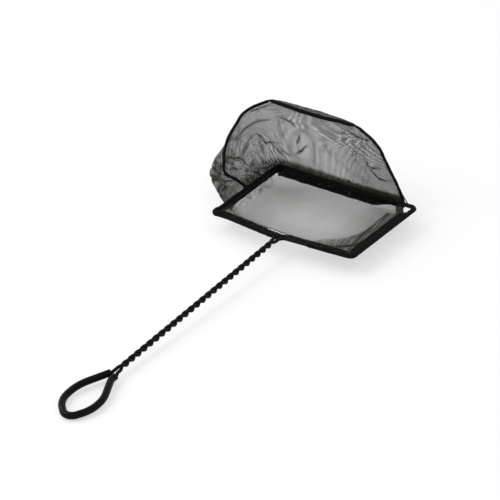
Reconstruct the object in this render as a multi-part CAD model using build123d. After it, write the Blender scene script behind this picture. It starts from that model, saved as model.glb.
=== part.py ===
from build123d import *
import math
import os

# Aquarium fish net: a twisted handle of coated wire that opens into a four-sided rim, a sleeved grip loop,
# and a bag of fine mesh sewn round the rim, which lies mouth up with its closed end raised behind the rim.
# Millimetres. The origin is on the resting surface under the middle of the mouth. +Y runs from the
# handle towards the bag's closed end, +X to the right and +Z up.

# Rim
rim_front_width = 150.0
rim_back_width = 154.0
rim_depth = 111.0
rim_height = 18.0
rim_corner_radius = 5.0
front_bow_left = 8.4
front_bow_right = 6.5
exit_radius_left = 4.0
exit_radius_right = 6.5
exit_run = 0.9

# Coated wire
core_diameter = 2.0
wire_diameter = 3.0
coat_clearance = 0.02
arc_share = 0.45

# Twisted handle
twist_length = 241.0
twist_turns = 13.5
twist_ease = 7.0
strand_clearance = 0.06
strand_spread = 0.7
ease_stations = (0.0, 0.5, 0.8)

# Grip loop, a soft tube over both wire tails
sleeve_diameter = 6.4
sleeve_bore = 3.6
loop_width = 32.0
loop_length = 74.5
tail_share = 0.5
tail_end_gap = 2.0
tail_lead_share = 0.3

# Hems, the mesh folded over the rim's bars
hem_clearance = 0.1
hem_thickness = 0.6
flap_thickness = 1.2
front_flap = 7.5
left_flap = 7.0
back_flap = 11.0
right_flap = 8.0
hem_corner_gap = 9.0
open_corner_gap = 19.0
handle_gap_left = 10.0
handle_gap_right = 38.0

# Stitches that close the hems
stitch_length = 2.4
stitch_pitch = 4.0
stitch_width = 0.6
stitch_height = 0.4
stitch_inset = 1.5

# Bag
mesh_thickness = 0.6
seam_diameter = 2.4
sewing_gap = 0.3
closed_end_gap = 1.2
bag_rise = 60.0
bag_lean = 12.0
closed_end_width = 96.0
closed_end_shift = -47.0
closed_end_sag = 2.5
left_foot = 66.0
edge_corner_gap = 24.0
open_corner_step = 2.5
open_corner_sag = 5.0
back_sewing_drop = 6.0
floor_front = 45.0
floor_back = 16.0
floor_press = 12.0
floor_softness = 3.0
floor_cut = 0.2
panel_columns = 32
front_rows = 24
back_rows = 14
column_bunching = 0.5
front_swell = 12.0
front_swell_share = 0.5
back_swell = 6.0
back_swell_shares = (0.35, 0.75)
left_bulge = 58.0
left_bulge_share = 0.26
left_bulge_way = (-0.72, -0.2, 0.65)
right_bulge = 4.0
right_bulge_share = 0.3
front_lag = 3.0
front_reach = (2.5, 9.0)
front_drop = (4.0, 10.0)
back_lag = 1.0
back_reach = (3.0, 3.0)
back_drop = (3.0, 3.0)

# Corners of the two side seams, as shares of the bag's rise from the rim and from the closed end
left_seam_low = [(-0.19, -0.21, 0.26), (-0.23, -0.46, 0.44), (-0.43, -0.11, 0.78)]
left_seam_high = [(-0.20, -0.43, -0.05)]
right_seam_low = [(0.0, 0.083, 0.01), (-0.083, 0.08, 0.25), (-0.31, 0.10, 0.57)]
right_seam_high = [(0.42, -0.03, -0.17)]


def vector_mix(a, b, share):
    """The point a share of the way from a to b."""
    return a + (b - a) * share


def eased(share):
    """A smooth step from 0 to 1."""
    return share * share * (3.0 - 2.0 * share)


def rounded_route(points):
    """Straight runs joined by tangent arcs that are as large as the runs allow."""
    radii = []
    for before, here, after in zip(points, points[1:], points[2:]):
        turn = math.radians((here - before).get_angle(after - here))
        run = min((here - before).length, (after - here).length)
        radii.append(arc_share * run / math.tan(turn / 2.0))
    return Wire(FilletPolyline(*points, radius=radii).edges())


def tube(path, diameter, bore=0.0):
    """A round tube or rod along a path."""
    start = Plane(origin=path @ 0, z_dir=path % 0)
    section = start * Circle(diameter / 2.0)
    if bore > 0.0:
        section -= start * Circle(bore / 2.0)
    return sweep(section, path=path)


def wire_pair(path):
    """The steel core of a stretch of wire, and its coat."""
    bore = core_diameter + 2.0 * coat_clearance
    return tube(path, core_diameter), tube(path, wire_diameter, bore)


# Rim corners and the handle's line
x_axis = Vector(1, 0, 0)
up = Vector(0, 0, 1)
front_y = -rim_depth / 2.0
back_y = rim_depth / 2.0
front_left = Vector(-rim_front_width / 2.0, front_y, rim_height)
front_right = Vector(rim_front_width / 2.0, front_y, rim_height)
back_left = Vector(-rim_back_width / 2.0, back_y, rim_height)
back_right = Vector(rim_back_width / 2.0, back_y, rim_height)

strand_radius = wire_diameter / 2.0 + strand_clearance / 2.0
parting = strand_radius + strand_spread


def exit_reach(bow, radius):
    """How far in front of the rim's corners a leg's bend into the handle ends."""
    turn = math.pi / 2.0 - math.atan(bow / (rim_front_width / 2.0))
    return bow + radius * math.tan(turn / 2.0)


twist_start = exit_run + max(
    exit_reach(front_bow_left, exit_radius_left), exit_reach(front_bow_right, exit_radius_right)
)
handle_reach = twist_length + loop_length
handle_tilt = math.asin((rim_height - sleeve_diameter / 2.0) / handle_reach)
handle_way = Vector(0, -math.cos(handle_tilt), -math.sin(handle_tilt))
handle_normal = Vector(0, -math.sin(handle_tilt), math.cos(handle_tilt))
handle_start = Vector(0, front_y - twist_start, rim_height)


def handle_point(across, along, above=0.0):
    """A point in the handle's own directions, counted from where the twist starts."""
    return handle_start + x_axis * across + handle_way * along + handle_normal * above


# Rim wire
def front_apex(side, bow):
    """The corner where one half of the front bar would meet the handle."""
    back_up = (twist_start - bow) / math.cos(handle_tilt)
    return handle_point(side * parting, -back_up)


left_apex = front_apex(-1.0, front_bow_left)
right_apex = front_apex(1.0, front_bow_right)
rim_points = [
    handle_point(-parting, 0.0),
    left_apex,
    front_left,
    back_left,
    back_right,
    front_right,
    right_apex,
    handle_point(parting, 0.0),
]
rim_radii = [exit_radius_left] + [rim_corner_radius] * 4 + [exit_radius_right]
rim_path = Wire(FilletPolyline(*rim_points, radius=rim_radii).edges())


# Twisted strands
def strand_turn(along):
    """Radians turned at a distance along the twist, starting and stopping gently."""
    rate = 2.0 * math.pi * twist_turns / (twist_length - twist_ease)
    if along > twist_length - twist_ease:
        return 2.0 * math.pi * twist_turns - strand_turn(twist_length - along)
    if along > twist_ease:
        return rate * (along - twist_ease / 2.0)
    share = max(along, 0.0) / twist_ease
    return rate * twist_ease * (share**3 - share**4 / 2.0)


def strand_point(along, first_angle):
    """A point on a strand's centreline."""
    nearest_end = min(along, twist_length - along)
    share = min(max(nearest_end / twist_ease, 0.0), 1.0)
    radius = strand_radius + strand_spread * (1.0 - eased(share))
    angle = first_angle + strand_turn(along)
    return handle_point(radius * math.cos(angle), along, radius * math.sin(angle))


def strand_heading(along, first_angle):
    """A strand's direction, which is the handle's own at both ends."""
    if along <= 0.0 or along >= twist_length:
        return handle_way
    step = 0.01
    ahead = strand_point(along + step, first_angle)
    behind = strand_point(along - step, first_angle)
    return (ahead - behind).normalized()


def biarc(start, start_way, end, end_way):
    """Two arcs that join two points and take both directions there."""
    chord = end - start
    ways = start_way + end_way
    along = chord.dot(ways)
    spread = 2.0 * (1.0 - start_way.dot(end_way))
    reach = chord.dot(chord) / (along + math.sqrt(along**2 + spread * chord.dot(chord)))
    first_corner = start + start_way * reach
    second_corner = end - end_way * reach
    joint = (first_corner + second_corner) * 0.5
    joint_way = (second_corner - first_corner).normalized()
    return [
        Edge.make_tangent_arc(start, start_way, joint),
        Edge.make_tangent_arc(joint, joint_way, end),
    ]


def strand_stations():
    """Distances along the twist, a quarter turn apart between the gentle ends."""
    inner = twist_length - 2.0 * twist_ease
    count = round(4.0 * twist_turns * inner / (twist_length - twist_ease))
    first = [share * twist_ease for share in ease_stations]
    middle = [twist_ease + inner * i / count for i in range(count + 1)]
    last = [twist_length - share * twist_ease for share in reversed(ease_stations)]
    return first + middle + last


def strand_path(first_angle):
    """A strand's centreline as a chain of biarcs."""
    edges = []
    stations = strand_stations()
    for here, there in zip(stations, stations[1:]):
        edges += biarc(
            strand_point(here, first_angle),
            strand_heading(here, first_angle),
            strand_point(there, first_angle),
            strand_heading(there, first_angle),
        )
    return Wire(edges)


# Grip loop, as shares of its half width and its length
loop_shape = [
    (-0.19, 0.045),
    (-1.00, 0.426),
    (-0.92, 0.753),
    (0.26, 0.987),
    (0.94, 0.727),
    (0.95, 0.495),
    (0.24, 0.153),
    (0.22, 0.075),
]


def loop_point(across, along):
    """A point of the loop's centreline."""
    return handle_point(across * loop_width / 2.0, twist_length + along * loop_length)


loop_points = [loop_point(across, along) for across, along in loop_shape]
sleeve_path = rounded_route(loop_points)


def tail_lead(side):
    """The corners of a wire leg between the end of the twist and the sleeve's end."""
    leave = handle_point(side * parting, twist_length)
    if side < 0.0:
        heading = (loop_points[1] - loop_points[0]).normalized()
        across = (loop_points[0] - leave).dot(x_axis)
        return [leave, loop_points[0] - heading * (across / heading.dot(x_axis)), loop_points[0]]
    heading = (loop_points[-2] - loop_points[-1]).normalized()
    entry = loop_points[-1] - heading * sleeve_bore
    straight_on = handle_way * (entry - leave).dot(handle_way) * tail_lead_share
    return [leave, leave + straight_on, entry, loop_points[-1]]


def tail_path(side):
    """A tail's centreline, out of the twist and along the sleeve to near the middle of the loop's far end."""
    inside = rounded_route(loop_points if side < 0.0 else loop_points[::-1])
    share = tail_share if side < 0.0 else 1.0 - tail_share
    inside = inside.trim(0.0, share - tail_end_gap / 2.0 / inside.length)
    return Wire(rounded_route(tail_lead(side)).edges() + inside.edges())


# Hems
hem_inner = wire_diameter / 2.0 + hem_clearance
hem_outer = hem_inner + hem_thickness
flap_root = (hem_inner + hem_outer) / 2.0


def hem_section(start, along, flap_way, flap):
    """The folded mesh round the wire, with its flap where it has one."""
    place = Plane(origin=start, x_dir=flap_way, z_dir=along)
    section = Circle(hem_outer) - Circle(hem_inner)
    if flap > 0.0:
        middle = (flap + flap_root) / 2.0
        section += Pos(middle, 0) * Rectangle(flap - flap_root, flap_thickness)
    return place * section


def hem(start, end, flap_way, flap=0.0):
    """A straight hem from one point of a bar to another."""
    along = (end - start).normalized()
    return extrude(hem_section(start, along, flap_way, flap), amount=(end - start).length, dir=along)


def inset(start, end, distance):
    """The point of a bar at a distance from its start."""
    return start + (end - start).normalized() * distance


def stitches(start, end, flap_way, flap, face_way):
    """A row of stitches along a flap, near its free edge."""
    along = (end - start).normalized()
    count = int(((end - start).length - stitch_length) // stitch_pitch)
    row = []
    for i in range(count + 1):
        middle = start + along * (stitch_length / 2.0 + i * stitch_pitch)
        foot = middle + flap_way * (flap - stitch_inset) + face_way * (flap_thickness / 2.0)
        place = Plane(origin=foot, x_dir=along, z_dir=face_way)
        stitch = Box(stitch_length, stitch_width, stitch_height, align=(Align.CENTER, Align.CENTER, Align.MIN))
        row.append(place * stitch)
    return row


left_way = (back_left - front_left).normalized()
right_way = (back_right - front_right).normalized()
left_half = (left_apex - front_left).normalized()
right_half = (right_apex - front_right).normalized()
left_half_in = up.cross(left_half).normalized()
right_half_in = right_half.cross(up).normalized()
right_in = up.cross(right_way).normalized()
left_in = left_way.cross(up).normalized()

left_hem_ends = (inset(front_left, back_left, hem_corner_gap), inset(back_left, front_left, hem_corner_gap))
back_hem_ends = (inset(back_left, back_right, hem_corner_gap), inset(back_right, back_left, open_corner_gap))
right_hem_ends = (
    inset(front_right, back_right, front_flap + sewing_gap),
    inset(back_right, front_right, open_corner_gap),
)
front_left_ends = (
    inset(front_left, left_apex, hem_corner_gap),
    inset(left_apex, front_left, handle_gap_left),
)
front_right_ends = (
    inset(front_right, right_apex, hem_corner_gap),
    inset(right_apex, front_right, handle_gap_right),
)


def front_flap_plate():
    """The front hem's flap, which runs unbroken behind the way out for the handle."""
    stations = [
        (front_left_ends[0], left_half_in),
        (left_apex, left_half_in),
        (right_apex, right_half_in),
        (front_right_ends[0], right_half_in),
    ]
    outer = [(point + way * flap_root) for point, way in stations]
    inner = [(point + way * front_flap) for point, way in stations]
    outline = [(p.X, p.Y) for p in outer + inner[::-1]]
    level = Pos(0, 0, rim_height - flap_thickness / 2.0)
    return level * extrude(Polygon(*outline, align=None), amount=flap_thickness)


def front_hem_solid():
    """Both folded stretches of the front hem with their common flap."""
    left_stretch = hem(*front_left_ends, left_half_in)
    right_stretch = hem(*front_right_ends, right_half_in)
    return left_stretch + front_flap_plate() + right_stretch


# Seams between the two mesh panels
closed_left = Vector(closed_end_shift - closed_end_width / 2.0, back_y + bag_lean, rim_height + bag_rise)
closed_right = Vector(closed_end_shift + closed_end_width / 2.0, back_y + bag_lean, rim_height + bag_rise)
closed_sag_point = (closed_left + closed_right) * 0.5 - up * closed_end_sag
closed_path = rounded_route([closed_left, closed_sag_point, closed_right])

left_low = rim_height - left_flap - sewing_gap - mesh_thickness
outer_face = flap_thickness / 2.0 + sewing_gap + mesh_thickness
back_edge_y = back_y + outer_face
back_edge_z = rim_height - back_sewing_drop
right_edge = right_flap + sewing_gap + mesh_thickness
front_edge = front_flap + sewing_gap + mesh_thickness


def left_bar_point(distance, height):
    """A point under the left bar, at a distance from its front corner."""
    point = inset(front_left, back_left, distance)
    return Vector(point.X, point.Y, height)


def seam_route(foot, low_shape, high_shape, top):
    """A seam's route from the rim to the closed end, with corners given as shares of the bag's rise."""
    low = [foot + Vector(*shape) * bag_rise for shape in low_shape]
    high = [top + Vector(*shape) * bag_rise for shape in high_shape]
    return [foot] + low + high + [top]


seam_stand_off = flap_thickness / 2.0 + sewing_gap + seam_diameter / 2.0
left_seam_foot = left_bar_point(left_foot, left_low) - left_in * seam_stand_off
back_edge_left = Vector(back_left.X + edge_corner_gap, back_edge_y, back_edge_z)
back_edge_corner = Vector(back_left.X - outer_face, back_edge_y + outer_face, back_edge_z)
right_seam_foot = Vector(back_hem_ends[1].X + open_corner_step, back_edge_y, back_edge_z)
left_seam_points = seam_route(left_seam_foot, left_seam_low, left_seam_high, closed_left)
right_seam_points = seam_route(right_seam_foot, right_seam_low, right_seam_high, closed_right)
left_seam_path = rounded_route(left_seam_points)
right_seam_path = rounded_route(right_seam_points)


def seam(path):
    """A seam's roll of overlocked mesh, short of the next seam at each end."""
    cut = (seam_diameter / 2.0 + sewing_gap) / path.length
    return tube(path.trim(cut, 1.0 - cut), seam_diameter)


# Mesh panels
open_corner_edge = inset(back_right, front_right, edge_corner_gap) + right_in * right_edge
front_rim_edge = rounded_route(
    [
        left_seam_foot,
        left_bar_point(edge_corner_gap, left_low),
        inset(front_left, left_apex, edge_corner_gap) + left_half_in * front_edge,
        Vector(0, max(left_apex.Y, right_apex.Y) + front_edge, rim_height),
        inset(front_right, right_apex, edge_corner_gap) + right_half_in * front_edge,
        inset(front_right, back_right, edge_corner_gap) + right_in * right_edge,
        open_corner_edge,
        (open_corner_edge + right_seam_foot) * 0.5 - up * open_corner_sag,
        right_seam_foot,
    ]
)
back_rim_edge = rounded_route(
    [
        left_seam_foot,
        left_bar_point(rim_depth - edge_corner_gap, back_edge_z) - left_in * outer_face,
        back_edge_corner,
        back_edge_left,
        right_seam_foot,
    ]
)

closed_middle = closed_path @ 0.5
panel_margin = seam_diameter / 2.0 + sewing_gap + mesh_thickness
floor_level = mesh_thickness - floor_cut
front_profile = rounded_route(
    [
        front_rim_edge @ 0.5,
        Vector(0, front_y + floor_front, -floor_press),
        Vector(0, back_y + floor_back, -floor_press),
        Vector(0, back_y + bag_lean + front_swell, rim_height + front_swell_share * bag_rise),
        closed_middle,
    ]
)
back_profile = rounded_route(
    [
        back_rim_edge @ 0.5,
        Vector(0, back_y + 2.0 * hem_outer, rim_height),
        Vector(0, back_y + bag_lean - back_swell, rim_height + back_swell_shares[0] * bag_rise),
        Vector(closed_middle.X, back_y + bag_lean - back_swell, rim_height + back_swell_shares[1] * bag_rise),
        closed_middle,
    ]
)


def resting(height):
    """A height, eased on to the resting surface where it would pass below it."""
    return floor_level + floor_softness * math.log1p(math.exp((height - floor_level) / floor_softness))


def flat_point(rim_edge, right_lag, u, v):
    """A point of the smooth patch between a panel's four edges, which climbs its right seam late."""
    corners = vector_mix(
        vector_mix(left_seam_foot, right_seam_foot, u), vector_mix(closed_left, closed_right, u), v
    )
    between_ends = vector_mix(rim_edge @ u, closed_path @ u, v)
    between_sides = vector_mix(left_seam_path @ v, right_seam_path @ (v**right_lag), u)
    return between_ends + between_sides - corners


def hold(u, fullness):
    """How much of its middle's stand-off a panel keeps at a place between its seams."""
    return 1.0 - abs(2.0 * u - 1.0) ** (fullness[0] if u < 0.5 else fullness[1])


def panel_point(rim_edge, profile, right_lag, reach_fullness, drop_fullness, u, v):
    """A point of a panel, whose middle follows the profile backwards and in height."""
    flat = flat_point(rim_edge, right_lag, u, v)
    foot, top = rim_edge @ u, closed_path @ u
    start, middle, end = profile @ 0, profile @ v, profile @ 1
    progress = (middle.Y - start.Y) / (end.Y - start.Y)
    reach = (foot.Y + (top.Y - foot.Y) * progress - flat.Y) * hold(u, reach_fullness)
    height = middle.Z + (foot.Z - start.Z) * (1.0 - v) + (top.Z - end.Z) * v
    drop = (height - flat.Z) * hold(u, drop_fullness)
    return flat + Vector(0, reach, drop)


def side_wave(distance, reach):
    """A swelling that starts steeply at a seam and dies away at its reach."""
    share = min(distance / reach, 1.0)
    return math.sin(math.pi * share) * (1.0 - share)


def bulge(u, v):
    """How the front panel's sides stand out beyond the side bars."""
    left = Vector(*left_bulge_way) * left_bulge * side_wave(u, left_bulge_share)
    right = x_axis * right_bulge * side_wave(1.0 - u, right_bulge_share)
    return (left + right) * math.sin(math.pi * v) ** 2


def front_point(u, v):
    """A point of the front panel."""
    smooth = panel_point(front_rim_edge, front_profile, front_lag, front_reach, front_drop, u, v)
    return smooth + bulge(u, v)


def back_point(u, v):
    """A point of the back panel."""
    return panel_point(back_rim_edge, back_profile, back_lag, back_reach, back_drop, u, v)


def seam_inset(path, share, row):
    """How far from a seam a row of a panel's mesh ends, as a share of the row."""
    sine = (path % share).cross(row.normalized()).length
    return panel_margin / sine / row.length


def bunched(share):
    """A share of a row's way, with the columns closer together near the seams."""
    return share + column_bunching * ((1.0 - math.cos(math.pi * share)) / 2.0 - share)


def panel_grid(point_at, profile, right_lag, rows):
    """Rows of points over a panel, a little inside its seams."""
    end_inset = (panel_margin + closed_end_gap) / profile.length
    grid = []
    for j in range(rows + 1):
        v = (1.0 - end_inset) * j / rows
        right_share = v**right_lag
        row = right_seam_path @ right_share - left_seam_path @ v
        left_end = seam_inset(left_seam_path, v, row)
        right_end = 1.0 - seam_inset(right_seam_path, right_share, row)
        line = []
        for i in range(panel_columns + 1):
            point = point_at(left_end + (right_end - left_end) * bunched(i / panel_columns), v)
            line.append(Vector(point.X, point.Y, resting(point.Z)))
        grid.append(line)
    return grid


def other_face(grid, way):
    """The same rows on the sheet's other face, flat where they reach the resting surface."""
    rows, columns = len(grid) - 1, len(grid[0]) - 1
    other = []
    for j, line in enumerate(grid):
        moved = []
        for i, point in enumerate(line):
            across = line[min(i + 1, columns)] - line[max(i - 1, 0)]
            along = grid[min(j + 1, rows)][i] - grid[max(j - 1, 0)][i]
            place = point + across.cross(along).normalized() * (way * mesh_thickness)
            moved.append(Vector(place.X, place.Y, max(place.Z, 0.0)))
        other.append(moved)
    return other


def strip(first, second):
    """Triangles between two lines of points."""
    faces = []
    for a, b, c, d in zip(first, first[1:], second[1:], second):
        faces.append(Face(Wire.make_polygon([a, b, c])))
        faces.append(Face(Wire.make_polygon([a, c, d])))
    return faces


def panel(point_at, profile, right_lag, rows, thicken_way):
    """A panel's mesh as a thin faceted sheet."""
    grid = panel_grid(point_at, profile, right_lag, rows)
    other = other_face(grid, thicken_way)
    faces = []
    for side in (grid, other):
        for first, second in zip(side, side[1:]):
            faces += strip(first, second)
    faces += strip(grid[0], other[0])
    faces += strip(grid[-1], other[-1])
    for i in (0, -1):
        faces += strip([line[i] for line in grid], [line[i] for line in other])
    return Solid(Shell(faces)).clean()


# Build every piece
pieces = {}
pieces["rim_core"], pieces["rim_coat"] = wire_pair(rim_path)
left_strand, right_strand = strand_path(math.pi), strand_path(0.0)
pieces["strand_left_core"], pieces["strand_left_coat"] = wire_pair(left_strand)
pieces["strand_right_core"], pieces["strand_right_coat"] = wire_pair(right_strand)
pieces["tail_left_core"], pieces["tail_left_coat"] = wire_pair(tail_path(-1.0))
pieces["tail_right_core"], pieces["tail_right_coat"] = wire_pair(tail_path(1.0))
pieces["loop_sleeve"] = tube(sleeve_path, sleeve_diameter, sleeve_bore)

pieces["front_hem"] = front_hem_solid()
pieces["left_hem"] = hem(*left_hem_ends, -up, left_flap)
pieces["back_hem"] = hem(*back_hem_ends, -up, back_flap)
pieces["right_hem"] = hem(*right_hem_ends, right_in, right_flap)

pieces["front_stitching"] = Compound(
    stitches(*front_left_ends, left_half_in, front_flap, up)
    + stitches(*front_right_ends, right_half_in, front_flap, up)
)
pieces["left_stitching"] = Compound(stitches(*left_hem_ends, -up, left_flap, left_in))
pieces["back_stitching"] = Compound(stitches(*back_hem_ends, -up, back_flap, Vector(0, -1, 0)))
pieces["right_stitching"] = Compound(stitches(*right_hem_ends, right_in, right_flap, up))

pieces["left_seam"] = seam(left_seam_path)
pieces["right_seam"] = seam(right_seam_path)
pieces["closed_end_seam"] = seam(closed_path)
pieces["front_panel"] = panel(front_point, front_profile, front_lag, front_rows, -1.0)
pieces["back_panel"] = panel(back_point, back_profile, back_lag, back_rows, 1.0)

# Write the pieces, and compare each tube with its section times its length
os.makedirs("parts", exist_ok=True)
for name, piece in pieces.items():
    export_step(piece, f"parts/{name}.step")

coat_section = math.pi / 4.0 * (wire_diameter**2 - (core_diameter + 2.0 * coat_clearance) ** 2)
sleeve_section = math.pi / 4.0 * (sleeve_diameter**2 - sleeve_bore**2)
print("rim coat", pieces["rim_coat"].volume / (coat_section * rim_path.length))
print("left strand coat", pieces["strand_left_coat"].volume / (coat_section * left_strand.length))
print("sleeve", pieces["loop_sleeve"].volume / (sleeve_section * sleeve_path.length))
steps = 2000
gap = min(
    (left_strand @ (i / steps) - right_strand @ (i / steps)).length for i in range(steps + 1)
)
print("least gap between the strands", gap - wire_diameter)
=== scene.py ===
import math

import bpy
import numpy as np
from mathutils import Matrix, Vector, noise


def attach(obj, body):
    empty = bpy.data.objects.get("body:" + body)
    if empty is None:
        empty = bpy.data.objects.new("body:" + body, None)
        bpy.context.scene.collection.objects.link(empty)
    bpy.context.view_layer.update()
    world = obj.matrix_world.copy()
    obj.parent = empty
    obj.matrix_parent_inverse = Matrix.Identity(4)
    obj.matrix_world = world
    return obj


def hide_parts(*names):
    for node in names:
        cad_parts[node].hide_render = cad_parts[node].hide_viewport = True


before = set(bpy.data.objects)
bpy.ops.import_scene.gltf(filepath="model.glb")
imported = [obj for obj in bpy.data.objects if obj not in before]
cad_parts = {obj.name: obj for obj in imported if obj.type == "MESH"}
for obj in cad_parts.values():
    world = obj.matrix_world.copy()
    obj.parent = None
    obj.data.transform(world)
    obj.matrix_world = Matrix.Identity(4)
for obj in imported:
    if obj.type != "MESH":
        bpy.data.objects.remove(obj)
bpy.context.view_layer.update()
mm = 0.001

# Frame that the bag is sewn to, as in the part, with pairs for the left and the right
rim_front_width = 150.0
rim_back_width = 154.0
rim_depth = 111.0
rim_height = 18.0
rim_corner_radius = 5.0
front_bows = (8.4, 6.5)
exit_radii = (4.0, 6.5)
parting = 2.23
handle_drop = 0.047
twist_start = 13.4
arc_share = 0.45

# Hems
hem_radius = 2.0
hem_layer_gap = 0.4
hem_step = 0.8
hem_wrap_turns = (0.4, 1.6)
front_flap = 7.5
left_flap = 7.0
back_flap = 11.0
right_flap = 8.0
front_flap_way = (0.35, 1.0, 0.0)
right_flap_turn = 0.6
hem_corner_width = 3.2
hem_corner_ease = 9.0
hem_corner_swell = 1.2
back_hem_ease = 30.0
corner_lap = 0.8
front_corner_lap = 6.0
corner_run = 8.0
corner_sharpness = 2.0
apex_radius = 30.0
open_corner_gap = 19.0
open_corner_wrap = 16.0
hem_gathering = 1.6
hem_bunch = (0.45, 0.4)
hem_wander = 0.07
hem_puff = 0.1
hem_ripple = 0.5
hem_ripple_pitch = 3.2
ripple_drift = 1.4
ripple_share = 0.6

# Slit in the front hem, where the handle leaves
slit_end = 38.0
slit_start = 6.0
slit_offset = 3.3
slit_radius = 0.45
slit_ease = 4.0
slit_notch = 2.3
slit_notch_reach = 11.0
slit_notch_centre = 1.5

# Stitches
stitch_pitch = 4.0
stitch_length = 2.6
stitch_inset = 1.5
stitch_radius = 0.3
stitch_end_share = 0.55
stitch_arch = 0.3
stitch_rings = 9
thread_sides = 6

# Edges of the bag that are sewn to the hems
sewn_gap = 0.9
left_foot = 66.0
edge_corner_gap = 24.0
open_corner_step = 2.5
open_corner_sag = 5.0
back_sewing_drop = 6.0
back_stand_off = 1.5
seam_stand_off = 2.1

# Closed end and side seams, with the seams' corners as shares of the rise from their foot or their top
bag_rise = 60.0
bag_lean = 12.0
closed_end_width = 96.0
closed_end_shift = -47.0
closed_end_sag = 2.5
left_seam_low = [(-0.19, -0.21, 0.26), (-0.23, -0.46, 0.44), (-0.43, -0.11, 0.78)]
left_seam_high = [(-0.20, -0.43, -0.05)]
right_seam_low = [(0.0, 0.083, 0.01), (-0.083, 0.08, 0.25), (-0.31, 0.10, 0.57)]
right_seam_high = [(0.42, -0.03, -0.17)]

# How the panels hang between those edges, with pairs for the left and the right
hood_foot = 4.4
floor_front = 45.0
floor_back = 16.0
floor_press = 12.0
floor_softness = 3.0
floor_level = 0.5
cloth_lowest = 0.3
front_swell = 12.0
front_swell_share = 0.5
back_swell = 6.0
back_swell_shares = (0.35, 0.75)
left_bulge = 60.0
left_bulge_share = 0.26
left_bulge_rise = 0.88
left_bulge_low = (-0.96, -0.2, 0.55)
left_bulge_high = (-0.18, -0.2, 0.53)
left_bulge_turn = (0.1, 0.8)
right_bulge = 4.0
right_bulge_share = 0.3
front_lag = 3.0
front_reach = (2.5, 9.0)
front_drop = (4.0, 10.0)
back_lag = 1.0
back_fullness = (3.0, 3.0)

# Seams' rolls of thread, and the tail of thread at the right seam
seam_radius = 1.4
closed_end_radius = 1.8
seam_step = 0.3
seam_sides = 12
seam_ridge = 0.28
seam_ridge_pitch = 1.8
seam_wander = 0.5
seam_wander_ease = 8.0
seam_swell = 0.15
seam_end_share = 0.5
seam_end_ease = 3.5
tail_height = 22.0
tail_bar_gap = 9.5
tail_radius = 0.5
tail_rings = 12

# Mesh beyond the closed end's seam
allowance_grid = (190, 9)
allowance_height = 6.5
allowance_root = -0.1
allowance_fullness = 0.55
allowance_wander = 0.12
allowance_bumps = (9.0, 6.0)
allowance_lean = (0.25, -0.15)
allowance_fold = (0.66, 0.3)

# Bunched mesh across the open corner
corner_patch = [(55.0, 55.0, 14.5), (62.5, 56.0, 16.0), (75.5, 35.5, 17.6), (69.5, 30.0, 17.6)]
patch_grid = (40, 60)
patch_gather = 1.2
patch_sag = 2.0
patch_fold = (0.74, 0.45)

# Wrinkles, creases and gathers of both panels
wrinkle_sizes = (26.0, 9.0)
line_sharpness = 3.5
line_power = 3
tone_patch = 0.03
tone_patch_size = 12.0
crease_width = 1.1
crease_height = 1.2
crease_steps = 40

# Front panel's grid and shape
front_grid = (300, 240)
column_crowding = 0.4
strip_rows = 10
strip_end_gap = 1.7
strip_least = 0.5
strip_slit_share = 0.9
open_corner_us = (0.86, 0.89)
slit_us = ((0.33, 0.38), (0.54, 0.58))
gusset_edge = [
    (0.44, 0.0), (0.51, 0.14), (0.55, 0.2), (0.61, 0.24), (0.66, 0.29), (0.71, 0.37), (0.78, 0.47)
]
gusset_beyond = 0.5
flat_wrinkle = 0.1
raised_wrinkle = 0.7
raised_line = 0.4

# How much the front panel's mesh closes up, which also carries painted shade over the mouth and a painted
# shadow beside the left bar
front_crease_fold = 0.45
front_line_fold = 0.1
gusset_fold = (0.31, 0.4)
# Partly painted shade: the mesh rising as a wall under the mouth is closed up both for its slant and to paint
# the shade under the hems
wall_fold_and_shade = 0.12
slit_fold = 0.7
slit_fold_width = 1.2
open_corner_fold = 0.75
open_corner_fold_width = 4.0
# Painted shade over the mouth: the mesh is closed up to darken it where the net's shade falls on the floor
# below, more towards the back, right, front and left
mouth_painted_shade = 0.05
mouth_back_painted_shade = 0.1
mouth_right_painted_shade = 0.26
mouth_front_painted_shade = 0.08
mouth_left_painted_shade = 0.09
# Painted shadow of the left bar and its hem, darkening the mesh just inside the bar
left_bar_painted_shadow = 0.16
bulge_fold = -0.1
bulge_line_fold = 0.4
bulge_streak_fold = 0.3

# Back panel's grid and shape
back_grid = (280, 170)
back_line_height = 0.5
weave_turn = -12.0

# How much the back panel's mesh closes up
back_crease_fold = 0.55
back_line_fold = 0.12
foot_height = 12.5
foot_wander = 1.5
foot_left_drop = 2.5
foot_fold = 0.75
foot_left_thinning = 0.3
foot_left_streak = 0.35
foot_blur = (2.0, 3.0)
foot_left_blur = 5.0
hood_fold = 0.12
hood_middle_fold = -0.08
hood_right_fold = 0.18
hood_top_fold = 0.35
hood_edge_folds = (0.3, 0.2)
hood_width = 182.0

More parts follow.
